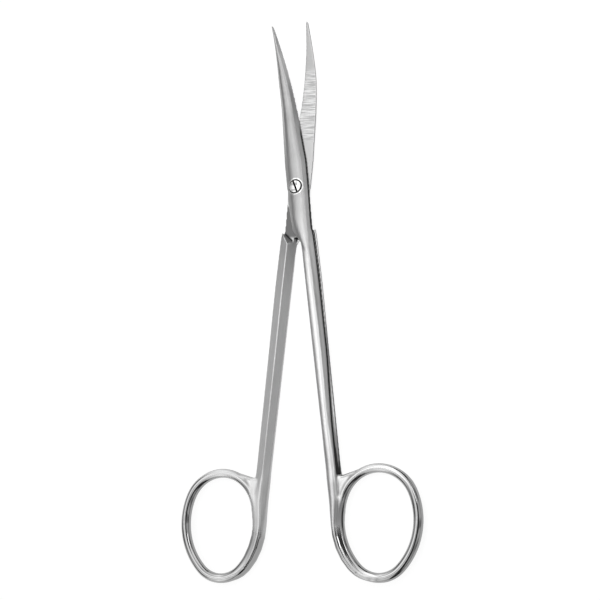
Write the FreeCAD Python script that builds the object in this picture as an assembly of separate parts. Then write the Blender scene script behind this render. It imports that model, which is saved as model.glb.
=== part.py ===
import FreeCAD, Part
import math
import os

# Dissecting scissors, curved blades, millimetres.
# +Y points to the tips, +Z is up, the origin is on the pivot axis at table height.
# Each half is drawn closed, about the middle of its joint, with the mating plane at height 0,
# blade on the left and shank on the right. It is then moved so that the pivot is at the origin,
# and turned open about the pivot.

# Whole instrument
HALF_OPEN = 6.0            # each half is turned this far open, degrees
LAYER = 1.85               # thickness of one half at the joint
MATING_GAP = 0.05          # each inner face stands this far off the mating surface
PIVOT_OFFSET = 0.45        # the pivot stands this far left of the joint's middle

# Blade
BLADE_LENGTH = 47.0
BEND_START = 20.0          # the blade is straight up to here
BEND_RADIUS = 56.0
JOINT_BACK = 3.45          # joint's side in line with the blade's back
JOINT_FRONT = 3.30         # joint's side in line with the cutting edge
JOINT_HEEL = 3.10          # the same side at the heel
BLADE_ROOT = 7.5           # the joint's sides start to taper here
KINK = 32.3                # the spine turns in here
KINK_SPINE = 2.45          # spine's distance from the closing line at the kink
KINK_SOFTNESS = 0.12       # the turn is rounded over this much of the spine's side
TIP_WIDTH = 0.66
TIP_RADIUS = 0.3
TIP_THICKNESS = 0.75
EDGE_WALL = 0.65           # height of the steep wall below the bevel at the joint
EDGE_WALL_END = 27.0       # the wall has run out here
EDGE_WALL_START = 15.0
EDGE_LAND = 0.12           # what is left of the wall along the cutting edge
WALL_LEAN = 0.75           # steep walls lean in by this share of their height
SPINE_WALL = 0.35          # upright part of the blade's back, share of its thickness
SPINE_ROUND = 0.20         # the back is rounded over this share of the blade's width
RIM = 0.80                 # the crown's edges lie at this share of the layer's thickness
CROWN_RISE = 0.07          # the crown rises at most this share of the blade's width
BEVEL = 0.90
BEVEL_SHARE = 0.42         # of the blade's width, where the blade is too narrow for the full bevel

# Heel of the joint and its sloped shoulder
HEEL_TOP = -9.0
HEEL_FOOT = -23.0
HEEL_SIDES_TOP = -6.0      # wall and bevel start to change into the shank's from here
HEEL_SINK = 0.12           # the layer has run this far into the shank at its foot
HEEL_STEP = 0.02           # at its foot the layer's side stands in from the shank's steep wall by this
BEVEL_AT_HEEL = 0.85
RIM_AT_HEEL = 0.66
HEEL_SIDE = (-2.93, -12.8)
HEEL_END = (-0.60, -16.5)
SHOULDER_TURN = 39.0       # the shoulder's normal, left of +Y in a half's own frame
SHOULDER_DISTANCE = 12.4   # pivot to the shoulder's foot
SHOULDER_SLOPE = 48.5
RELIEF_START = -14.4       # from here the heel's corner is relieved to pass over the other shank
RELIEF_HEIGHT = 0.85
RELIEF_SIDE = 0.9

# Heel, joint and blade are drawn in one stretch each
BLADE_STRETCHES = ((HEEL_FOOT, 0.0), (0.0, BLADE_ROOT), (BLADE_ROOT, BLADE_LENGTH + 0.4))
BLADE_SPACING = 2.25       # about this far between sections, along the blade

# Shank: place along Y, inner side, outer side, heights of the inner eave and of the crown,
# width and rise of the ledge along the outer side
SHANK_STATIONS = (
    (-12.6, -0.10, 3.68, 0.40, 0.80, 0.62, 0.00),
    (-18.0, -0.50, 3.98, 0.80, 1.50, 0.65, 0.00),
    (-23.0, -0.45, 4.07, 0.74, 1.70, 0.58, 0.00),
    (-30.0, -0.38, 4.18, 0.66, 1.70, 0.54, 0.00),
    (-48.0, -0.20, 4.10, 0.45, 1.70, 0.28, 0.10),
    (-67.0, 0.02, 4.12, 0.30, 1.70, 0.78, 0.40),
    (-80.0, 0.12, 4.12, 0.10, 1.70, 0.68, 0.70),
    (-89.0, 0.24, 3.90, 0.00, 1.70, 0.62, 0.70),
)
SHANK_SPACING = 5.1        # about this far between sections, along the shank
SHANK_RIDGE = 1.45
RIDGE_OFFSET = 0.42        # the inside's ridge stands this far inward of the shank's middle
OUTER_FOOT = -0.35         # where the outer side starts
LEDGE_HEIGHT = 0.05
SHANK_WALL = 0.50          # height of the steep wall above the ledge
SHANK_BEVEL_RUN = 1.55     # the bevel above it goes in this far for its height
INNER_WALL = 0.60          # the inner wall's share of the height from eave to crown
SKIRT_START = -80.0        # the roof widens over the ring's wire from here
SKIRT_REACH = 0.7
SKIRT_DROP = 0.55
SKIRT_FADE = (206.0, 236.0)

# Finger ring, with the halves open by HALF_OPEN. A turn is the direction of the outline's normal.
RING_CENTRE = (23.25, -94.4)
HOLE_HALF_WIDTH = 9.9
HOLE_HALF_LENGTH = 13.15
HOLE_WIDEST = 0.8              # above the ring's centre
HOLE_SIDE_RADIUS = 17.0
RING_WIRE = 2.5
WIRE_FLATS = 12                # flats round the wire's section, which keep the mesh light
LIMB_TURNS = (183.0, 268.0)
LIMB_SPACING = 9.0             # about this many degrees between sections
LIMB_FADE = (203.0, 268.0)     # the limb's own shape is lost between these
LIMB_WIDTH = 3.3               # shank and ring together, beside the hole
LIMB_END_WIDTH = 2.2
LIMB_INSET = 0.8               # the shank's side stays this far from the hole
LIMB_LEDGE = 0.35              # its ledge, share of half the limb's width
WEB_TURNS = (99.0, 120.0, 138.0, 155.0)
WEB_CORNER = (3.40, -82.85)
WEB_ROUND = 1.5
WEB_THICKNESS = 1.9
WEB_RIM = 0.85                 # rounding of the web's free rim

# Pivot screw
SCREW_RADIUS = 1.2
SCREW_CLEARANCE = 0.03
HEAD_RADIUS = 1.78
HEAD_CLEARANCE = 0.08
HEAD_HEIGHT = 0.95
HEAD_PROUD = 0.06
SLOT_WIDTH = 0.55
SLOT_DEPTH = 0.45
SLOT_TURN = 21.0


def blend(value, start, end):
    """0 before start, 1 after end, smooth between them."""
    share = min(max((value - start) / (end - start), 0.0), 1.0)
    return share * share * (3.0 - 2.0 * share)


def between(value, stations, column):
    """A column of the stations at a value of their first column, on straight lines."""
    for near, far in zip(stations, stations[1:]):
        if far[0] <= value <= near[0]:
            share = (value - near[0]) / (far[0] - near[0])
            return near[column] + share * (far[column] - near[column])
    return stations[-1][column]


def evenly_spaced(start, end, spacing):
    """Places from start to end, about one spacing apart."""
    steps = max(1, round(abs(end - start) / spacing))
    return [start + (end - start) * index / steps for index in range(steps + 1)]


def heel_share(y):
    """1 at the joint, 0 where the heel has become the shank."""
    return blend(y, HEEL_FOOT, HEEL_TOP)


def spine_x(y):
    """The blade's back, left of the closing line, and the heel's inner side."""
    if y < BLADE_ROOT:
        inner = between(max(y, HEEL_FOOT), SHANK_STATIONS, 1)
        return inner + (-JOINT_BACK - inner) * heel_share(y)
    root_line = -JOINT_BACK + (JOINT_BACK - KINK_SPINE) * (y - BLADE_ROOT) / (KINK - BLADE_ROOT)
    tip_line = -KINK_SPINE + (KINK_SPINE - TIP_WIDTH) * (y - KINK) / (BLADE_LENGTH - KINK)
    return 0.5 * (root_line + tip_line + math.hypot(root_line - tip_line, KINK_SOFTNESS))


def edge_x(y):
    """The cutting edge, which meets the other blade's edge at the tips when closed."""
    if y < BLADE_ROOT:
        heel = JOINT_FRONT + (JOINT_HEEL - JOINT_FRONT) * (1.0 - blend(y, SHANK_STATIONS[0][0], 0.0))
        outer = between(HEEL_FOOT, SHANK_STATIONS, 2) - between(HEEL_FOOT, SHANK_STATIONS, 5) - HEEL_STEP
        return heel + (outer - heel) * (1.0 - blend(y, HEEL_FOOT, SHANK_STATIONS[0][0]))
    return JOINT_FRONT * (BLADE_LENGTH - y) / (BLADE_LENGTH - BLADE_ROOT)


def crown_height(y):
    """Thickness of the layer at its crown."""
    if y < 0.0:
        foot = between(HEEL_FOOT, SHANK_STATIONS, 4) - HEEL_SINK
        return foot + (LAYER - foot) * heel_share(y)
    return LAYER - (LAYER - TIP_THICKNESS) * max(0.0, y - BEND_START) / (BLADE_LENGTH - BEND_START)


def wall_height(y):
    """Top of the steep wall under the bevel."""
    if y < 0.0:
        foot = LEDGE_HEIGHT + SHANK_WALL
        return foot + (EDGE_WALL - foot) * blend(y, HEEL_FOOT, HEEL_SIDES_TOP)
    return EDGE_WALL + (EDGE_LAND - EDGE_WALL) * blend(y, EDGE_WALL_START, EDGE_WALL_END)


def rim_height(y, top, width):
    """Height of the crown's edges."""
    if y < BLADE_ROOT:
        return (RIM_AT_HEEL + (RIM - RIM_AT_HEEL) * heel_share(y)) * top
    return top - min((1.0 - RIM) * top, CROWN_RISE * width)


def bend_frame(y):
    """Point of the mating surface and its upward normal at y along the bent blade."""
    if y < BEND_START:
        return FreeCAD.Vector(0, y, 0), FreeCAD.Vector(0, 0, 1)
    turn = math.asin((y - BEND_START) / BEND_RADIUS)
    height = BEND_RADIUS * (1 - math.cos(turn))
    return FreeCAD.Vector(0, y, height), FreeCAD.Vector(0, -math.sin(turn), math.cos(turn))


def section_wire(points, crowned, crown, place):
    """Closed section of straight sides; the side after the point numbered crowned is an arc."""
    spots = [place(*point) for point in points]
    edges = []
    for index, spot in enumerate(spots):
        following = spots[(index + 1) % len(spots)]
        if index == crowned:
            edges.append(Part.Arc(spot, place(*crown), following).toShape())
        else:
            edges.append(Part.LineSegment(spot, following).toShape())
    return Part.Wire(edges)


def blade_section(y, side):
    """One section of joint or blade; side is 1 for the upper layer and -1 for the lower."""
    base, up = bend_frame(y)
    edge = edge_x(y)
    spine = spine_x(y)
    top = crown_height(y)
    wall = wall_height(y)
    width = edge - spine
    bevel = min(BEVEL, BEVEL_SHARE * width)
    bevel += (BEVEL_AT_HEEL - BEVEL) * (1.0 - blend(y, HEEL_FOOT, HEEL_SIDES_TOP))
    rim = rim_height(y, top, width)
    wall_top = edge - WALL_LEAN * wall
    back = spine + SPINE_ROUND * width
    below = -0.4
    points = (
        (edge, 0.0),
        (wall_top, wall),
        (wall_top - bevel, rim),
        (back, rim),
        (spine, SPINE_WALL * top),
        (spine, below),
        (edge, below),
    )
    crown = (0.5 * (wall_top - bevel + back), top)

    def place(x, height):
        return FreeCAD.Vector(side * x, base.y, base.z) + up * (side * height)

    return section_wire(points, 2, crown, place)


def blade_plan(side):
    """Cuts the heel's corner and the tip to shape, seen from above; clear of the sides between."""
    clear = 8.0
    points = [
        (clear, BLADE_LENGTH - 4.0),
        (edge_x(BLADE_LENGTH - TIP_RADIUS), BLADE_LENGTH - TIP_RADIUS),
        (-0.3 * TIP_WIDTH, BLADE_LENGTH),
        (-0.7 * TIP_WIDTH, BLADE_LENGTH),
        (spine_x(BLADE_LENGTH - TIP_RADIUS), BLADE_LENGTH - TIP_RADIUS),
        (-clear, BLADE_LENGTH - 4.0),
        (-clear, -5.0),
        (-JOINT_BACK, -5.0),
        HEEL_SIDE,
        HEEL_END,
        (-0.9, HEEL_FOOT - 1.0),
        (clear, HEEL_FOOT - 1.0),
    ]
    loop = [FreeCAD.Vector(side * x, y, -30) for x, y in points]
    loop.append(loop[0])
    return Part.Face(Part.makePolygon(loop)).extrude(FreeCAD.Vector(0, 0, 60))


def mating_tool(side):
    """Everything on the far side of the mating surface, from the heel to past the tip."""
    gap = side * MATING_GAP
    far = -side * 40.0
    end = BLADE_LENGTH + 3.0
    radius = BEND_RADIUS - gap
    centre_z = BEND_RADIUS

    def on_arc(y):
        return FreeCAD.Vector(0, y, centre_z - math.sqrt(radius ** 2 - (y - BEND_START) ** 2))

    start = FreeCAD.Vector(0, HEEL_FOOT - 1.0, gap)
    bend = FreeCAD.Vector(0, BEND_START, gap)
    corner = FreeCAD.Vector(0, end, far)
    foot = FreeCAD.Vector(0, HEEL_FOOT - 1.0, far)
    edges = [
        Part.LineSegment(start, bend).toShape(),
        Part.Arc(bend, on_arc(0.5 * (BEND_START + end)), on_arc(end)).toShape(),
        Part.LineSegment(on_arc(end), corner).toShape(),
        Part.LineSegment(corner, foot).toShape(),
        Part.LineSegment(foot, start).toShape(),
    ]
    face = Part.Face(Part.Wire(edges))
    face.translate(FreeCAD.Vector(-15, 0, 0))
    return face.extrude(FreeCAD.Vector(30, 0, 0))


def shoulder_tool(side):
    """Clears the other layer's room as far as the sloped shoulder."""
    reach = 6.0
    lean = reach / math.tan(math.radians(SHOULDER_SLOPE))
    foot = -SHOULDER_DISTANCE + MATING_GAP / math.tan(math.radians(SHOULDER_SLOPE))
    profile = [
        FreeCAD.Vector(-12, foot, MATING_GAP),
        FreeCAD.Vector(-12, 6.0, MATING_GAP),
        FreeCAD.Vector(-12, 6.0, -reach),
        FreeCAD.Vector(-12, foot - lean, -reach),
    ]
    profile.append(profile[0])
    tool = Part.Face(Part.makePolygon(profile)).extrude(FreeCAD.Vector(24, 0, 0))
    tool.rotate(FreeCAD.Vector(), FreeCAD.Vector(0, 0, 1), SHOULDER_TURN)
    return turned_over(tool, side)


def relief_tool(side):
    """Relieves the underside of the heel's corner, which passes over the other shank."""
    corner = FreeCAD.Vector(RELIEF_SIDE - 9.0, RELIEF_START - 12.0, RELIEF_HEIGHT - 8.0)
    return turned_over(Part.makeBox(9.0, 12.0, 8.0, corner), side)


def turned_over(shape, side):
    """The lower half is the upper half turned over about the closing line."""
    if side < 0:
        shape.rotate(FreeCAD.Vector(), FreeCAD.Vector(0, 1, 0), 180)
    return shape


def handle_section(sides, eave, crown, ledge, ridge, skirt, place):
    """Crowned above, a low roof below; ledge is its width and rise, ridge its place and depth."""
    inner, outer = sides
    ledge_end = (outer - ledge[0], LEDGE_HEIGHT + ledge[1])
    wall_top = (ledge_end[0] - WALL_LEAN * SHANK_WALL, ledge_end[1] + SHANK_WALL)
    rim = 0.5 * (wall_top[1] + crown)
    bevel_end = (wall_top[0] - SHANK_BEVEL_RUN * (rim - wall_top[1]), rim)
    points = (
        (outer + SKIRT_REACH * skirt, OUTER_FOOT - SKIRT_DROP * skirt),
        (outer, LEDGE_HEIGHT),
        ledge_end,
        wall_top,
        bevel_end,
        (inner, eave + INNER_WALL * (crown - eave)),
        (inner, eave),
        ridge,
    )
    return section_wire(points, 4, (0.5 * (inner + bevel_end[0]), crown), place)


def shank_section(y):
    inner, outer, eave, crown, width, rise = (between(y, SHANK_STATIONS, column) for column in range(1, 7))
    ridge = (0.5 * (inner + outer) - RIDGE_OFFSET, -SHANK_RIDGE)
    skirt = 1.0 - blend(y, SHANK_STATIONS[-1][0], SKIRT_START)

    def place(x, height):
        return FreeCAD.Vector(x, y, height)

    return handle_section((inner, outer), eave, crown, (width, rise), ridge, skirt, place)


def limb_section(turn):
    """The shank's end, running round the ring until it is lost in the wire."""
    fade = blend(turn, *LIMB_FADE)
    width = LIMB_WIDTH + (LIMB_END_WIDTH - LIMB_WIDTH) * fade
    middle = ring_spot(turn, 0.5 * (width + LIMB_INSET))
    across = ring_spot(turn, 0.0) - ring_spot(turn, 1.0)
    half = 0.5 * (width - LIMB_INSET)
    height = 1.0 - 0.2 * fade
    ridge = (-RIDGE_OFFSET * (1.0 - fade), -height * SHANK_RIDGE)

    def place(x, height):
        return middle + across * x + FreeCAD.Vector(0, 0, height)

    crown = height * SHANK_STATIONS[-1][4]
    ledge = (height * half * LIMB_LEDGE, height * SHANK_STATIONS[-1][6])
    skirt = 1.0 - blend(turn, *SKIRT_FADE)
    return handle_section((-half, half), 0.0, crown, ledge, ridge, skirt, place)


def hole_arcs():
    """The finger hole's outline, four arcs that meet smoothly: centre, radius, first and last turn."""
    side_x = HOLE_SIDE_RADIUS - HOLE_HALF_WIDTH
    ends = []
    for sign in (1, -1):
        reach = HOLE_HALF_LENGTH - sign * HOLE_WIDEST
        chord = HOLE_SIDE_RADIUS ** 2 - side_x ** 2 - reach ** 2
        radius = 0.5 * chord / (HOLE_SIDE_RADIUS - reach)
        turn = math.degrees(math.atan2(reach - radius, side_x))
        ends.append((FreeCAD.Vector(0, sign * (HOLE_HALF_LENGTH - radius), 0), radius, turn))
    (top, top_radius, top_turn), (foot, foot_radius, foot_turn) = ends
    return (
        (FreeCAD.Vector(-side_x, HOLE_WIDEST, 0), HOLE_SIDE_RADIUS, -foot_turn, top_turn),
        (top, top_radius, top_turn, 180.0 - top_turn),
        (FreeCAD.Vector(side_x, HOLE_WIDEST, 0), HOLE_SIDE_RADIUS, 180.0 - top_turn, 180.0 + foot_turn),
        (foot, foot_radius, 180.0 + foot_turn, 360.0 - foot_turn),
    )


def ring_spot(turn, outward):
    """Point of a half's own frame, this far outward from the finger hole's outline."""
    normal = FreeCAD.Vector(math.cos(math.radians(turn)), math.sin(math.radians(turn)), 0)
    for centre, radius, first, last in hole_arcs():
        if first <= turn <= last:
            spot = centre + normal * (radius + outward)
    return to_ring(spot)


def to_ring(thing):
    """Moves a point or shape, given about the ring's own centre, to its place in a half's frame."""
    place = FreeCAD.Vector(RING_CENTRE[0], RING_CENTRE[1], 0)
    closing = FreeCAD.Rotation(FreeCAD.Vector(0, 0, 1), -HALF_OPEN)
    placement = FreeCAD.Placement(closing.multVec(place), closing)
    if isinstance(thing, FreeCAD.Vector):
        return placement.multVec(thing)
    thing.Placement = placement
    return thing


def finger_ring():
    """Wire swept along the hole's arcs."""
    stretches = []
    for centre, radius, first, last in hole_arcs():
        middle = centre + FreeCAD.Vector(radius + 0.5 * RING_WIRE, 0, 0)
        corners = []
        for index in range(WIRE_FLATS + 1):
            turn = 2.0 * math.pi * (index + 0.5) / WIRE_FLATS
            corners.append(middle + FreeCAD.Vector(math.cos(turn), 0, math.sin(turn)) * (0.5 * RING_WIRE))
        section = Part.Face(Part.makePolygon(corners))
        section.rotate(centre, FreeCAD.Vector(0, 0, 1), first)
        stretches.append(section.revolve(centre, FreeCAD.Vector(0, 0, 1), last - first))
    return to_ring(stretches[0].fuse(stretches[1:]))


def web():
    """Fills the crotch between shank and ring, its free rim rounded."""
    corner = FreeCAD.Vector(WEB_CORNER[0], WEB_CORNER[1], 0)
    ring_top = ring_spot(WEB_TURNS[0], RING_WIRE - 0.1)
    along = (ring_top - corner).normalize()
    rim_start = corner + FreeCAD.Vector(0, WEB_ROUND, 0)
    rim_end = corner + along * WEB_ROUND
    curve = Part.BezierCurve()
    curve.setPoles([rim_start, corner, rim_end])
    inside_shank = 0.5 * SHANK_STATIONS[-1][2]
    path = [ring_top] + [ring_spot(turn, 1.0) for turn in WEB_TURNS]
    path += [FreeCAD.Vector(inside_shank, spot.y, 0) for spot in (path[-1], rim_start)]
    path.append(rim_start)
    edges = [curve.toShape(), Part.LineSegment(rim_end, ring_top).toShape()]
    for near, far in zip(path, path[1:]):
        edges.append(Part.LineSegment(near, far).toShape())
    plate = Part.Face(Part.Wire(edges)).extrude(FreeCAD.Vector(0, 0, WEB_THICKNESS))
    plate.translate(FreeCAD.Vector(0, 0, -0.5 * WEB_THICKNESS))
    rim_middle = curve.value(0.5)
    rim = [edge for edge in plate.Edges if edge_on_rim(edge, rim_middle, 0.5 * (rim_end + ring_top))]
    return plate.makeFillet(WEB_RIM, rim)


def edge_on_rim(edge, *rim_points):
    """True for the web's long edges right above or below one of the rim's points."""
    for point in rim_points:
        for height in (-0.5 * WEB_THICKNESS, 0.5 * WEB_THICKNESS):
            spot = Part.Vertex(point + FreeCAD.Vector(0, 0, height))
            if edge.distToShape(spot)[0] < 0.001:
                return True
    return False


def scissor_half(side):
    """One forging in its own frame, closed, the pivot at the origin."""
    layer = None
    for start, end in BLADE_STRETCHES:
        sections = [blade_section(y, side) for y in evenly_spaced(start, end, BLADE_SPACING)]
        stretch = Part.makeLoft(sections, True, False)
        layer = layer.fuse(stretch) if layer else stretch
    layer = layer.common(blade_plan(side)).cut(mating_tool(side)).cut(relief_tool(side))
    places = evenly_spaced(SHANK_STATIONS[0][0], SHANK_STATIONS[-1][0], SHANK_SPACING)
    sections = [shank_section(y) for y in places]
    shank = Part.makeLoft(sections, True, False)
    turns = evenly_spaced(*LIMB_TURNS, LIMB_SPACING)
    limb = Part.makeLoft([sections[-1]] + [limb_section(turn) for turn in turns], True, True)
    handle = turned_over(shank.fuse([limb, finger_ring(), web()]), side)
    half = layer.fuse(handle).cut(shoulder_tool(side))
    half.translate(FreeCAD.Vector(PIVOT_OFFSET, 0, 0))
    if side > 0:
        half = half.cut(Part.makeCylinder(SCREW_RADIUS + SCREW_CLEARANCE, 10, FreeCAD.Vector(0, 0, -5)))
        seat = FreeCAD.Vector(0, 0, LAYER - HEAD_HEIGHT)
        half = half.cut(Part.makeCylinder(HEAD_RADIUS + HEAD_CLEARANCE, 5, seat))
    else:
        half = half.cut(Part.makeCylinder(SCREW_RADIUS, 10, FreeCAD.Vector(0, 0, -5)))
    return half


def place_up(shape):
    shape.translate(FreeCAD.Vector(0, 0, LAYER))
    return shape


def place_open(shape, side):
    shape.rotate(FreeCAD.Vector(), FreeCAD.Vector(0, 0, 1), side * HALF_OPEN)
    return place_up(shape)


def pivot_screw():
    """Slotted head sunk in the upper half, shank threaded in the lower one."""
    seat = LAYER - HEAD_HEIGHT + 0.02
    screw = Part.makeCylinder(SCREW_RADIUS, LAYER + seat + 0.1, FreeCAD.Vector(0, 0, -LAYER))
    head = Part.makeCylinder(HEAD_RADIUS, LAYER + HEAD_PROUD - seat, FreeCAD.Vector(0, 0, seat))
    head = head.makeChamfer(0.12, [edge for edge in head.Edges if edge.BoundBox.ZMin > LAYER])
    corner = FreeCAD.Vector(-0.5 * SLOT_WIDTH, -2.5, LAYER + HEAD_PROUD - SLOT_DEPTH)
    slot = Part.makeBox(SLOT_WIDTH, 5, 5, corner)
    slot.rotate(FreeCAD.Vector(), FreeCAD.Vector(0, 0, 1), SLOT_TURN)
    return screw.fuse(head).cut(slot).removeSplitter()


def main():
    os.makedirs("parts", exist_ok=True)
    for name, side in (("front_half", 1), ("back_half", -1)):
        half = scissor_half(side)
        place_open(half, side).exportStep("parts/" + name + ".step")
    place_up(pivot_screw()).exportStep("parts/pivot_screw.step")


main()
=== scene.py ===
import math

import bpy
import numpy
from mathutils import Matrix, Vector


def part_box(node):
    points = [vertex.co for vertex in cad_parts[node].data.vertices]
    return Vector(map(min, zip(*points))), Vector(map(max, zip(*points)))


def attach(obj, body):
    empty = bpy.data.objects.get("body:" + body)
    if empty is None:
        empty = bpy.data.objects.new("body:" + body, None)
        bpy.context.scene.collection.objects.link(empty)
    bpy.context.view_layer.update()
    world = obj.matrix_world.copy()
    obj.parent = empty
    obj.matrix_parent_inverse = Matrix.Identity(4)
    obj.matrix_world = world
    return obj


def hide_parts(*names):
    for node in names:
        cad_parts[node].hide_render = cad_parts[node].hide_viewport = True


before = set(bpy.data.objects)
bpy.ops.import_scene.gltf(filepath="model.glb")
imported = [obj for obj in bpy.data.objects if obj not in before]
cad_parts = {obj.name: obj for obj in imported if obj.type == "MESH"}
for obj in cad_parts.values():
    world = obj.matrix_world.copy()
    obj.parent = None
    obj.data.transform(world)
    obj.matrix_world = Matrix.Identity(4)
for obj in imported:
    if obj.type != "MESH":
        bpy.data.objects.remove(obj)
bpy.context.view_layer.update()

# Camera, from the photograph: it leans to the right of the screw's axis and a little towards the rings
IMAGE_SIZE = 600.0
LEAN_RIGHT = math.radians(24.0)
LEAN_DOWN = math.radians(-11.44)
ROLL = math.radians(-0.15)
DISTANCE = 0.400
PIXELS_PER_METRE = 3520.0          # at the mating plane
PIVOT_PIXEL = (297.63, 187.8)
MATING_HEIGHT = 0.00185
SENSOR = 36.0
CLIP = (0.01, 10.0)

# Zones of the forged halves, in metres from the screw's axis, across and along each half's own shank
HALF_OPEN = math.radians(6.0)              # each half is turned this far from the middle line
LIMB_POLISH = (-0.0950, -0.1000)           # satin turns to polish here along the limb
WIRE_POLISH = (-0.0800, -0.0860)           # and here along the rest of the ring
LIMB_EDGE = (0.0042, 0.0055)               # where the limb ends and the wire begins
TONE_CHANGE = (0.0, -0.0350)               # from the blade's tone to the shank's
GRINDING_SPAN = (0.0130, 0.0150, 0.0320, 0.0360)
TIP_CHANGE = (0.0310, 0.0350)              # the inner face is darker beyond the grinding marks
SHADE_BEHIND_JOINT_SPAN = (-0.0150, -0.0140, -0.0060, -0.0050)   # painted shade on the inner face behind the joint
WALL_CHANGE = (-0.0100, 0.0050)            # the painted dark reflection on the bevel's wall moves to steeper slopes towards the blade
WALL_END = (0.0150, 0.0190)                # and fades out along the blade
GAP_SHADE_SPAN = (0.00172, 0.00184, 0.00200, 0.00215)    # painted shade in a ring round the screw's head
POLISHED_LIP_AND_HIGHLIGHT = (0.00200, 0.00215, 0.00235, 0.00250)    # polished edge of the head's pocket, with a painted highlight

# Slopes: the part of the normal that points up, outward from the shank, or out of the half's inner face
INNER_FACE = (0.90, 0.95)                  # out of the inner face, from a slope to the flat of the blade
OUTER_SIDE = (-0.3, 0.0)                   # the same, from the crowned side to the edge
BEVEL_SLOPE = (0.46, 0.56)                 # outward, on the crown and on the bevel
DARK_REFLECTION_SLOPE = (0.38, 0.45, 0.69, 0.73)      # up, where the bevel's wall gets a painted dark reflection
WALL_SHIFT = (0.0, 0.07)                   # added to it at the shank and at the blade
SIDE_SHADE_SLOPE = (0.45, 0.86)                  # up, where the painted shade on steep sides is full and where it ends
CREST_SLOPE = (0.75, 0.92)                 # up, beside a ridge and on one that gets a painted highlight

# Tones of the steel. A pair is for the blade and the shank, a share multiplies the tone under it, and the
# last three are the least and the most that is added to it
FRONT_TONE = (0.53, 0.82)
BACK_TONE = (0.66, 0.95)
# painted light on the blade's bevel and painted shade on the shank's bevel
BEVEL_LIGHT_AND_SHADE = (1.80, 0.66)
TIP_SHARE = 0.90
# painted shade: steep sides are darkened to this share
SIDE_SHADE_SHARE = 0.50
# painted dark reflection on the bevel's steep wall
DARK_REFLECTION_SHARE = 0.12
POLISHED_TONE = 0.62
# painted shade on the inner face behind the joint
SHADE_BEHIND_JOINT_TONE = 0.20
# painted highlight on ridges that face up
RIDGE_HIGHLIGHT_TONE = 0.90
# painted shade in hollow corners
CORNER_SHADE_TONE = 0.02
# painted shade round the screw's head
GAP_SHADE_TONE = 0.05
# painted highlight on the edge of the head's pocket
LIP_HIGHLIGHT_TONE = 0.95
BRUSH_TONE = (-0.035, 0.035)
CLOUD_TONE = (-0.02, 0.02)
GRINDING_TONE = (-0.20, 0.26)

# Roughness
FRONT_SATIN = 0.31
BACK_SATIN = 0.40
POLISH = 0.07
LIP_POLISH = 0.15
SATIN_SPREAD = (-0.02, 0.04)

# Brushed lines, grinding marks and clouds: sizes in metres, and the stretch of the noise that is used
BRUSH_WIDTH = 0.00012
BRUSH_LENGTH = 0.0060
BRUSH_DEPTH = 0.000012
BRUSH_STRENGTH = 0.5
GRINDING_WIDTH = 0.00026
GRINDING_LENGTH = 0.0040
CLOUD_SIZE = 1.0 / 260.0
FINE_SIZE = 1.0 / 5200.0
COARSE_DETAIL = 2.0
FINE_DETAIL = 3.0
NOISE_SPAN = (0.3, 0.7)
GRINDING_NOISE = (0.36, 0.64)

# Screw
HEAD_RADIUS = 0.00178
HEAD_RIM = (0.94, 0.98)                    # shares of the radius where the painted shade on the head's rim starts and is full
HEAD_DEPTH = (0.0010, 0.0009)              # below the top, where the head ends and the shaft begins
HEAD_DOME = 0.0060                         # radius of the head's dome
HEAD_TONE = 0.90
# painted shade on the head's rim
RIM_SHADE_TONE = 0.40
# painted shade inside the slot
SLOT_SHADE_TONE = 0.01
SLOT_SHADE_DEPTH = (0.00006, 0.000032)           # below the top, where the painted shade in the slot is full and where it starts
HEAD_ROUGHNESS = (0.08, 0.18)
HEAD_GRAIN = 1.0 / 3000.0

# Forged pieces are redrawn from the CAD solids with softened edges
GRAIN = 0.00018                            # mesh size of the redrawn pieces
SOFTENING = 2                              # rounds of smoothing everywhere
BLENDING = 40                              # further rounds where ring and shank flow together
SMOOTHING = 0.5                            # share of each round
BLEND_START = -0.0790                      # they grow from here along the shank
BLEND_END = -0.0840                        # and are in full from here
LIMB_END_PLACE = (0.0233, -0.1093)         # the limb's end on the wire, smoothed once more
LIMB_END_REACH = (0.0032, 0.0012)          # from this distance, and in full from this one
REFILL = 0.00018                           # gives the blended ring its thickness back
HOLLOW = (0.000003, 0.000011)              # rise of the neighbours over a flat place and in a sharp corner
RIDGE = (0.000012, 0.000036)               # their fall beside a soft edge and at a sharp one
EDGE_SPREAD = 1.2                          # how much a hollow or a ridge counts beside itself
EDGE_CORE = 0.4                            # and on its own place

# Light: the studio's brightness from left to right, from rings to tips, and from the horizon up
ACROSS = (
    (0.0, 0.40), (0.05, 0.32), (0.09, 0.25), (0.15, 0.60), (0.22, 1.05), (0.27, 1.35), (0.36, 0.95),
    (0.46, 0.80), (0.50, 0.62), (0.525, 0.04), (0.71, 0.04), (0.75, 0.42), (0.93, 0.46), (0.97, 0.58),
    (1.0, 0.55),
)
ALONG = (
    (0.0, 0.65), (0.22, 0.95), (0.30, 0.40), (0.37, 1.05), (0.43, 1.10), (0.455, 0.45), (0.50, 0.45),
    (0.535, 1.10), (0.66, 1.10), (0.70, 0.50), (0.75, 0.50), (0.80, 1.05), (1.0, 0.85),
)
UPWARD = ((0.0, 0.60), (0.12, 0.65), (0.35, 0.95), (0.50, 1.0))
FLOOR_GLOW = 0.90
FLOOR_GREY = 0.25
FLOOR_HALF = 3.0

# Lamps, turned straight down: place, size and power of each
LAMPS = {
    "soft_box": ((0.0275, 0.0175, 0.100), (0.095, 0.165), 0.044),
    "strip": ((0.1190, -0.0130, 0.200), (0.020, 0.060), 0.008),
}


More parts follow.
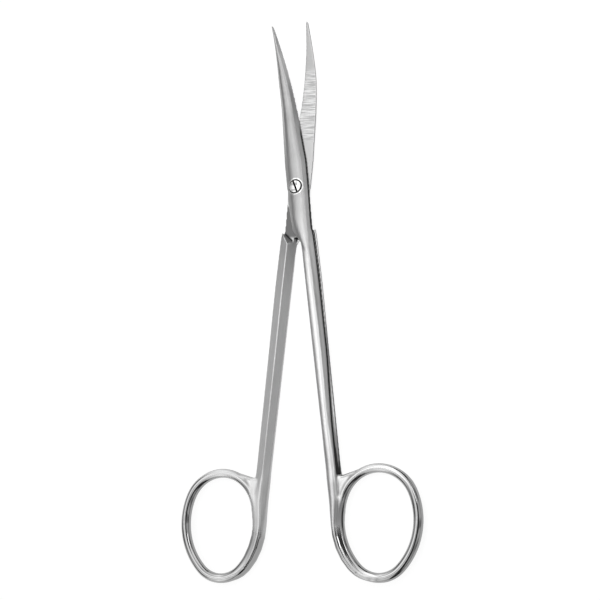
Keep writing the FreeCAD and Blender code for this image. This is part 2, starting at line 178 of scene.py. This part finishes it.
def camera_axes():
    """Right, up and backward directions of the camera."""
    right = Vector((math.cos(LEAN_RIGHT), 0.0, -math.sin(LEAN_RIGHT)))
    up = Vector(
        (
            -math.sin(LEAN_RIGHT) * math.sin(LEAN_DOWN),
            math.cos(LEAN_DOWN),
            -math.cos(LEAN_RIGHT) * math.sin(LEAN_DOWN),
        )
    )
    back = right.cross(up)
    turned_right = math.cos(ROLL) * right - math.sin(ROLL) * up
    turned_up = math.sin(ROLL) * right + math.cos(ROLL) * up
    return turned_right, turned_up, back


def add_camera():
    """Looks at the scissors so that the screw falls on its pixel of the photograph."""
    right, up, back = camera_axes()
    off_x = (PIVOT_PIXEL[0] - 0.5 * IMAGE_SIZE) / PIXELS_PER_METRE
    off_y = -(PIVOT_PIXEL[1] - 0.5 * IMAGE_SIZE) / PIXELS_PER_METRE
    place = Vector((0.0, 0.0, MATING_HEIGHT)) - off_x * right - off_y * up + DISTANCE * back
    data = bpy.data.cameras.new("camera")
    data.sensor_width = SENSOR
    data.lens = SENSOR * PIXELS_PER_METRE * DISTANCE / IMAGE_SIZE
    data.clip_start, data.clip_end = CLIP
    camera = bpy.data.objects.new("camera", data)
    bpy.context.scene.collection.objects.link(camera)
    turn = Matrix((right, up, back)).transposed()
    camera.matrix_world = Matrix.Translation(place) @ turn.to_4x4()
    bpy.context.scene.camera = camera


def grey(level):
    return (level, level, level, 1.0)


class Graph:
    """Short calls for the nodes of one material or of the world."""

    def __init__(self, owner):
        owner.use_nodes = True
        self.nodes = owner.node_tree.nodes
        self.links = owner.node_tree.links

    def put(self, socket, value):
        """Sets a socket to a number, or links another node's output to it."""
        if isinstance(value, float):
            socket.default_value = value
        else:
            self.links.new(value, socket)

    def calculate(self, operation, first, second=0.0):
        node = self.nodes.new("ShaderNodeMath")
        node.operation = operation
        self.put(node.inputs[0], first)
        self.put(node.inputs[1], second)
        return node.outputs[0]

    def product(self, first, *others):
        for other in others:
            first = self.calculate("MULTIPLY", first, other)
        return first

    def total(self, first, second):
        return self.calculate("ADD", first, second)

    def larger(self, first, second):
        return self.calculate("MAXIMUM", first, second)

    def spread(self, source, span, target=(0.0, 1.0), smooth=False):
        """Turns one span of values into another, and stops at its ends."""
        node = self.nodes.new("ShaderNodeMapRange")
        if smooth:
            node.interpolation_type = "SMOOTHSTEP"
        for name, value in zip(("From Min", "From Max", "To Min", "To Max"), span + target):
            node.inputs[name].default_value = value
        self.links.new(source, node.inputs["Value"])
        return node.outputs["Result"]

    def window(self, source, span):
        """1 inside a span of four places, 0 outside it, smooth at both ends."""
        rise = self.spread(source, span[:2], smooth=True)
        fall = self.spread(source, span[2:], (1.0, 0.0), smooth=True)
        return self.product(rise, fall)

    def mix(self, share, first, second):
        """A level between two others, each a number or a socket."""
        node = self.nodes.new("ShaderNodeMix")
        self.links.new(share, node.inputs["Factor"])
        self.put(node.inputs["A"], first)
        self.put(node.inputs["B"], second)
        return node.outputs["Result"]

    def axes(self, source):
        node = self.nodes.new("ShaderNodeSeparateXYZ")
        self.links.new(source, node.inputs[0])
        return node.outputs

    def mapped(self, source, turn=0.0, scale=(1.0, 1.0, 1.0)):
        node = self.nodes.new("ShaderNodeMapping")
        node.inputs["Rotation"].default_value = (0.0, 0.0, turn)
        node.inputs["Scale"].default_value = scale
        self.links.new(source, node.inputs["Vector"])
        return node.outputs[0]

    def radius(self, source):
        """Distance from the screw's axis."""
        node = self.nodes.new("ShaderNodeVectorMath")
        node.operation = "LENGTH"
        self.links.new(self.mapped(source, scale=(1.0, 1.0, 0.0)), node.inputs[0])
        return node.outputs["Value"]

    def noise(self, source, size, detail):
        node = self.nodes.new("ShaderNodeTexNoise")
        node.inputs["Scale"].default_value = 1.0 / size
        node.inputs["Detail"].default_value = detail
        self.links.new(source, node.inputs["Vector"])
        return node.outputs["Fac"]

    def attribute(self, name):
        node = self.nodes.new("ShaderNodeAttribute")
        node.attribute_name = name
        return node.outputs["Fac"]

    def levels(self, source, stops):
        """Grey levels at places from 0 to 1."""
        node = self.nodes.new("ShaderNodeValToRGB")
        elements = node.color_ramp.elements
        for index, (place, level) in enumerate(stops):
            element = elements[index] if index < 2 else elements.new(place)
            element.position = place
            element.color = grey(level)
        self.links.new(source, node.inputs[0])
        return node.outputs["Color"]

    def paint(self, shader, tone):
        """Gives a metal its grey colour."""
        shader.inputs["Metallic"].default_value = 1.0
        colour = self.nodes.new("ShaderNodeCombineColor")
        for socket in colour.inputs[:3]:
            self.links.new(tone, socket)
        self.links.new(colour.outputs[0], shader.inputs["Base Color"])

    def relief(self, shader, height, strength, distance):
        bump = self.nodes.new("ShaderNodeBump")
        bump.inputs["Strength"].default_value = strength
        bump.inputs["Distance"].default_value = distance
        self.links.new(height, bump.inputs["Height"])
        self.links.new(bump.outputs[0], shader.inputs["Normal"])


def steel_zones(graph, source, own, inner_side):
    """Shares from 0 to 1 that say where each finish, painted shade and painted highlight lies on a forged
    half.
    """
    normal = graph.axes(source.outputs["Normal"])
    own_axes = graph.axes(own)
    across = graph.calculate("ABSOLUTE", own_axes["X"])
    along = own_axes["Y"]
    radius = graph.radius(source.outputs["Object"])
    facing = graph.product(normal["Z"], float(inner_side))
    outward = graph.product(normal["X"], float(-inner_side))

    wire = graph.spread(along, WIRE_POLISH, smooth=True)
    beyond = graph.spread(across, LIMB_EDGE, smooth=True)
    limb = graph.spread(along, LIMB_POLISH, smooth=True)
    polished = graph.larger(graph.product(wire, beyond), limb)
    satin = graph.calculate("SUBTRACT", 1.0, polished)

    inner = graph.spread(facing, INNER_FACE)
    outer = graph.spread(facing, OUTER_SIDE, (1.0, 0.0))
    bevel = graph.product(graph.spread(outward, BEVEL_SLOPE), outer)
    shift = graph.spread(along, WALL_CHANGE, WALL_SHIFT)
    slope = graph.total(graph.calculate("ABSOLUTE", normal["Z"]), shift)
    fading = graph.spread(along, WALL_END, (1.0, 0.0), smooth=True)
    crest = graph.spread(normal["Z"], CREST_SLOPE)
    return {
        "along": along,
        "upward": normal["Z"],
        "polished": polished,
        "satin": satin,
        "inner": inner,
        "ground": graph.product(inner, graph.window(along, GRINDING_SPAN)),
        "shade_behind_joint": graph.product(inner, graph.window(along, SHADE_BEHIND_JOINT_SPAN)),
        "bevel": bevel,
        "dark_reflection": graph.product(bevel, graph.window(slope, DARK_REFLECTION_SLOPE), graph.product(satin, fading)),
        "hollow": graph.product(graph.attribute("hollow"), satin),
        "ridge": graph.product(graph.attribute("ridge"), crest),
        "gap": graph.window(radius, GAP_SHADE_SPAN),
        "lip": graph.window(radius, POLISHED_LIP_AND_HIGHLIGHT),
    }


def steel_tone(graph, zones, face_tone, brush, marks, clouds):
    """Grey level of a forged half: satin first, then each zone over the ones before it, painted shade and
    highlights among them.
    """
    along = zones["along"]
    tone = graph.spread(along, TONE_CHANGE, face_tone, smooth=True)
    tone = graph.total(tone, graph.spread(brush, NOISE_SPAN, BRUSH_TONE))
    tone = graph.total(tone, graph.spread(clouds, NOISE_SPAN, CLOUD_TONE))
    scored = graph.total(tone, graph.spread(marks, GRINDING_NOISE, GRINDING_TONE))
    tone = graph.mix(zones["ground"], tone, scored)
    tip = graph.spread(along, TIP_CHANGE, (1.0, TIP_SHARE))
    tone = graph.mix(zones["inner"], tone, graph.product(tone, tip))
    # painted light on the blade's bevel, painted shade on the shank's
    bevel = graph.spread(along, TONE_CHANGE, BEVEL_LIGHT_AND_SHADE, smooth=True)
    tone = graph.mix(zones["bevel"], tone, graph.product(tone, bevel))
    # the ring's polished tone, painted shade behind the joint and a painted highlight on the pocket's edge
    for zone, level in (("polished", POLISHED_TONE), ("shade_behind_joint", SHADE_BEHIND_JOINT_TONE), ("lip", LIP_HIGHLIGHT_TONE)):
        tone = graph.mix(zones[zone], tone, level)
    # painted shade on steep sides
    tone = graph.product(tone, graph.spread(zones["upward"], SIDE_SHADE_SLOPE, (SIDE_SHADE_SHARE, 1.0), smooth=True))
    # painted highlight on ridges and painted shade in hollow corners
    for zone, level in (("ridge", RIDGE_HIGHLIGHT_TONE), ("hollow", CORNER_SHADE_TONE)):
        tone = graph.mix(zones[zone], tone, level)
    # painted dark reflection on the bevel's steep wall
    tone = graph.mix(zones["dark_reflection"], tone, graph.product(tone, DARK_REFLECTION_SHARE))
    # painted shade round the screw's head
    return graph.mix(zones["gap"], tone, GAP_SHADE_TONE)


def steel(name, turn, roughness, face_tone, inner_side):
    """Brushed along the shank, polished over the ring, ground across on the blade's inner face."""
    material = bpy.data.materials.new(name)
    graph = Graph(material)
    shader = graph.nodes["Principled BSDF"]
    source = graph.nodes.new("ShaderNodeTexCoord")
    coordinates = source.outputs["Object"]
    own = graph.mapped(coordinates, turn=-turn)
    zones = steel_zones(graph, source, own, inner_side)

    brush_place = graph.mapped(own, scale=(1.0, BRUSH_WIDTH / BRUSH_LENGTH, 1.0))
    brush = graph.noise(brush_place, BRUSH_WIDTH, COARSE_DETAIL)
    mark_place = graph.mapped(own, scale=(GRINDING_WIDTH / GRINDING_LENGTH, 1.0, 1.0))
    marks = graph.noise(mark_place, GRINDING_WIDTH, FINE_DETAIL)
    clouds = graph.noise(coordinates, CLOUD_SIZE, COARSE_DETAIL)
    fine = graph.noise(coordinates, FINE_SIZE, FINE_DETAIL)
    graph.paint(shader, steel_tone(graph, zones, face_tone, brush, marks, clouds))

    rough = graph.mix(zones["polished"], roughness, POLISH)
    uneven = graph.product(graph.spread(fine, NOISE_SPAN, SATIN_SPREAD), zones["satin"])
    rough = graph.mix(zones["lip"], graph.total(rough, uneven), LIP_POLISH)
    graph.links.new(rough, shader.inputs["Roughness"])
    height = graph.product(graph.mix(zones["ground"], brush, marks), zones["satin"])
    graph.relief(shader, height, BRUSH_STRENGTH, BRUSH_DEPTH)
    return material


def bright_steel(name, top):
    """Polished and slightly domed, with painted shade inside the slot and on the head's rim."""
    material = bpy.data.materials.new(name)
    graph = Graph(material)
    shader = graph.nodes["Principled BSDF"]
    coordinates = graph.nodes.new("ShaderNodeTexCoord").outputs["Object"]
    height = graph.axes(coordinates)["Z"]
    radius = graph.radius(coordinates)
    shallow = graph.spread(height, tuple(top - depth for depth in SLOT_SHADE_DEPTH))
    head = graph.spread(height, tuple(top - depth for depth in HEAD_DEPTH))
    slot = graph.calculate("SUBTRACT", head, graph.product(shallow, head))
    rim = graph.spread(radius, tuple(share * HEAD_RADIUS for share in HEAD_RIM))
    graph.paint(shader, graph.mix(rim, graph.mix(slot, HEAD_TONE, SLOT_SHADE_TONE), RIM_SHADE_TONE))
    fine = graph.noise(coordinates, HEAD_GRAIN, COARSE_DETAIL)
    graph.links.new(graph.spread(fine, NOISE_SPAN, HEAD_ROUGHNESS), shader.inputs["Roughness"])
    dome = graph.product(graph.product(radius, radius), -0.5 / HEAD_DOME)
    graph.relief(shader, dome, 1.0, 1.0)
    return material


def wear(obj, material):
    obj.data.materials.clear()
    obj.data.materials.append(material)


def step_between(value, start, end):
    """0 at start, 1 at end, smooth between them."""
    share = min(max((value - start) / (end - start), 0.0), 1.0)
    return share * share * (3.0 - 2.0 * share)


def apply_modifiers(piece):
    """Keeps the mesh that the piece's modifiers make."""
    graph = bpy.context.evaluated_depsgraph_get()
    mesh = bpy.data.meshes.new_from_object(piece.evaluated_get(graph))
    piece.modifiers.clear()
    piece.data = mesh


def read_rows(items, field, width, kind):
    """Values of a mesh's points or edges, one row for each."""
    values = numpy.empty(width * len(items), kind)
    items.foreach_get(field, values)
    return values.reshape(-1, width)


def mark_edges(mesh):
    """Stores on each point how far it lies in a hollow corner or on a ridge, for painted shade in the
    corners and painted highlights on the ridges.
    """
    places = read_rows(mesh.vertices, "co", 3, numpy.float32)
    normals = read_rows(mesh.vertex_normals, "vector", 3, numpy.float32)
    ends = read_rows(mesh.edges, "vertices", 2, numpy.int32)
    neighbours = numpy.bincount(ends.ravel(), minlength=len(places))

    def around(values):
        """Mean of the neighbours' values."""
        total = numpy.bincount(ends[:, 0], values[ends[:, 1]], len(places))
        total += numpy.bincount(ends[:, 1], values[ends[:, 0]], len(places))
        return total / neighbours

    rise = sum((around(places[:, axis]) - places[:, axis]) * normals[:, axis] for axis in range(3))
    for name, value, (low, high) in (("hollow", rise, HOLLOW), ("ridge", -rise, RIDGE)):
        share = numpy.clip((value - low) / (high - low), 0.0, 1.0)
        share = numpy.clip(EDGE_SPREAD * around(share) + EDGE_CORE * share, 0.0, 1.0)
        layer = mesh.attributes.new(name, "FLOAT", "POINT")
        layer.data.foreach_set("value", share.astype(numpy.float32))


def ring_share(place):
    """1 over the finger ring, 0 on the shank."""
    return step_between(place.y, BLEND_START, BLEND_END)


def limb_end_share(place):
    """1 where the limb runs out on the ring's wire, 0 away from it."""
    off = math.hypot(abs(place.x) - LIMB_END_PLACE[0], place.y - LIMB_END_PLACE[1])
    return step_between(off, *LIMB_END_REACH)


def add_group(piece, name, share_of):
    group = piece.vertex_groups.new(name=name)
    for vertex in piece.data.vertices:
        share = share_of(vertex.co)
        if share > 0.0:
            group.add([vertex.index], share, "REPLACE")


def finely_meshed(node, name):
    """Copy of a CAD node with a fine, even mesh."""
    piece = bpy.data.objects.new(name, node.data.copy())
    bpy.context.scene.collection.objects.link(piece)
    remesh = piece.modifiers.new("grain", "REMESH")
    remesh.mode = "VOXEL"
    remesh.voxel_size = GRAIN
    remesh.use_smooth_shade = True
    apply_modifiers(piece)
    return piece


def soften(piece):
    """Rounds all edges a little, and more where ring and shank flow together."""
    add_group(piece, "ring", ring_share)
    add_group(piece, "limb_end", limb_end_share)
    for label, rounds, group in (
        ("soften", SOFTENING, ""),
        ("blend", BLENDING, "ring"),
        ("close", BLENDING, "limb_end"),
    ):
        smooth = piece.modifiers.new(label, "SMOOTH")
        smooth.factor = SMOOTHING
        smooth.iterations = rounds
        smooth.vertex_group = group
    refill = piece.modifiers.new("refill", "DISPLACE")
    refill.strength = REFILL
    refill.mid_level = 0.0
    refill.vertex_group = "ring"
    apply_modifiers(piece)


def forged(node, name, body, material):
    """A forged half with softened edges, in place of its CAD node."""
    piece = finely_meshed(node, name)
    soften(piece)
    mark_edges(piece.data)
    wear(piece, material)
    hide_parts(node.name)
    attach(piece, body)
    return piece


def seen_directly(graph):
    """1 for rays from the camera, from mirrors and through glass."""
    rays = graph.nodes.new("ShaderNodeLightPath").outputs
    mirrored = graph.larger(rays["Is Glossy Ray"], rays["Is Transmission Ray"])
    return graph.larger(rays["Is Camera Ray"], mirrored)


def add_floor():
    """White table top that keeps a faint shadow."""
    mesh = bpy.data.meshes.new("table_top")
    corners = [(x * FLOOR_HALF, y * FLOOR_HALF, 0.0) for x, y in ((-1, -1), (1, -1), (1, 1), (-1, 1))]
    mesh.from_pydata(corners, [], [(0, 1, 2, 3)])
    floor = bpy.data.objects.new("table_top", mesh)
    bpy.context.scene.collection.objects.link(floor)
    material = bpy.data.materials.new("table_top")
    graph = Graph(material)
    shader = graph.nodes["Principled BSDF"]
    shader.inputs["Base Color"].default_value = grey(FLOOR_GREY)
    shader.inputs["Roughness"].default_value = 1.0
    shader.inputs["Specular IOR Level"].default_value = 0.0
    shader.inputs["Emission Color"].default_value = grey(1.0)
    graph.links.new(graph.product(seen_directly(graph), FLOOR_GLOW), shader.inputs["Emission Strength"])
    wear(floor, material)


def add_world():
    """Studio that is bright on the left, dark just right of the middle, and plain white to the camera."""
    world = bpy.data.worlds.new("studio")
    bpy.context.scene.world = world
    graph = Graph(world)
    direction = graph.axes(graph.nodes.new("ShaderNodeTexCoord").outputs["Generated"])
    across = graph.levels(graph.spread(direction["X"], (-1.0, 1.0)), ACROSS)
    along = graph.levels(graph.spread(direction["Y"], (-1.0, 1.0)), ALONG)
    upward = graph.levels(direction["Z"], UPWARD)
    direct = graph.nodes.new("ShaderNodeLightPath").outputs["Is Camera Ray"]
    light = graph.larger(graph.product(across, along, upward), direct)
    graph.links.new(light, graph.nodes["Background"].inputs["Color"])


def add_lamps():
    for name, (place, size, power) in LAMPS.items():
        data = bpy.data.lights.new(name, "AREA")
        data.shape = "RECTANGLE"
        data.size, data.size_y = size
        data.energy = power
        lamp = bpy.data.objects.new(name, data)
        lamp.location = place
        lamp.visible_camera = False
        bpy.context.scene.collection.objects.link(lamp)


def main():
    bpy.context.scene.view_settings.view_transform = "Standard"
    add_camera()
    add_world()
    add_floor()
    add_lamps()
    front_steel = steel("front_steel", HALF_OPEN, FRONT_SATIN, FRONT_TONE, -1)
    back_steel = steel("back_steel", -HALF_OPEN, BACK_SATIN, BACK_TONE, 1)
    forged(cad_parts["front_half"], "front_forging", "upper", front_steel)
    forged(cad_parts["back_half"], "back_forging", "lower", back_steel)
    head_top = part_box("pivot_screw")[1][2]
    wear(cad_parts["pivot_screw"], bright_steel("screw_steel", head_top))


main()
